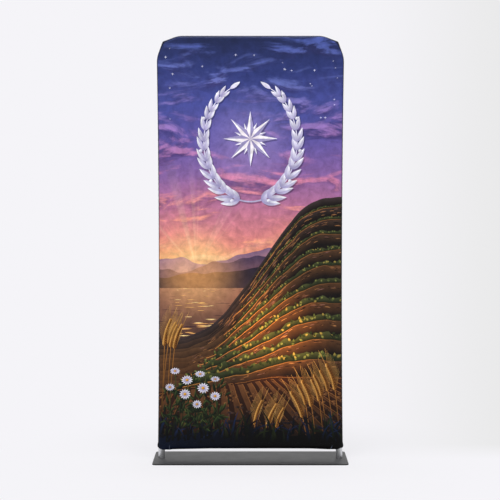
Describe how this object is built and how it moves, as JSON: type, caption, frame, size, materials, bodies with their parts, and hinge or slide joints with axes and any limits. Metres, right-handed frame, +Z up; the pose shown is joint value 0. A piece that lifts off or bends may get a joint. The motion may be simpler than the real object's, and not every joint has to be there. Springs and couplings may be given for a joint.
{
  "type": "fabric church banner on tube frame stand",
  "caption": "Tall printed stretch-cloth banner sleeve pulled over a round tube frame with bent top corners, standing free on a flat rectangular base plate.",
  "frame": {"origin": "on the floor under the middle of the base plate", "axes": "+Z up along the banner's height, +X along its width to the viewer's right, -Y out of the printed front face"},
  "size_m": [0.955, 0.3, 2.085],
  "materials": {
    "front_print": "dye-printed stretch polyester knit, matt with a slight sheen",
    "back_print": "dyed stretch polyester knit, matt with a slight sheen",
    "aluminium_tube": "satin anodised",
    "coated_plate": "fine-texture grey powder coat",
    "plated_peg": "zinc plated"
  },
  "bodies": {
    "root": {"front_panel": "front_print", "back_panel": "back_print", "upright_left": "aluminium_tube", "upright_right": "aluminium_tube", "elbow_left": "aluminium_tube", "elbow_right": "aluminium_tube", "top_bar": "aluminium_tube", "lower_bar": "aluminium_tube", "base_plate": "coated_plate", "peg_left": "plated_peg", "peg_right": "plated_peg"}
  },
  "joints": []
}
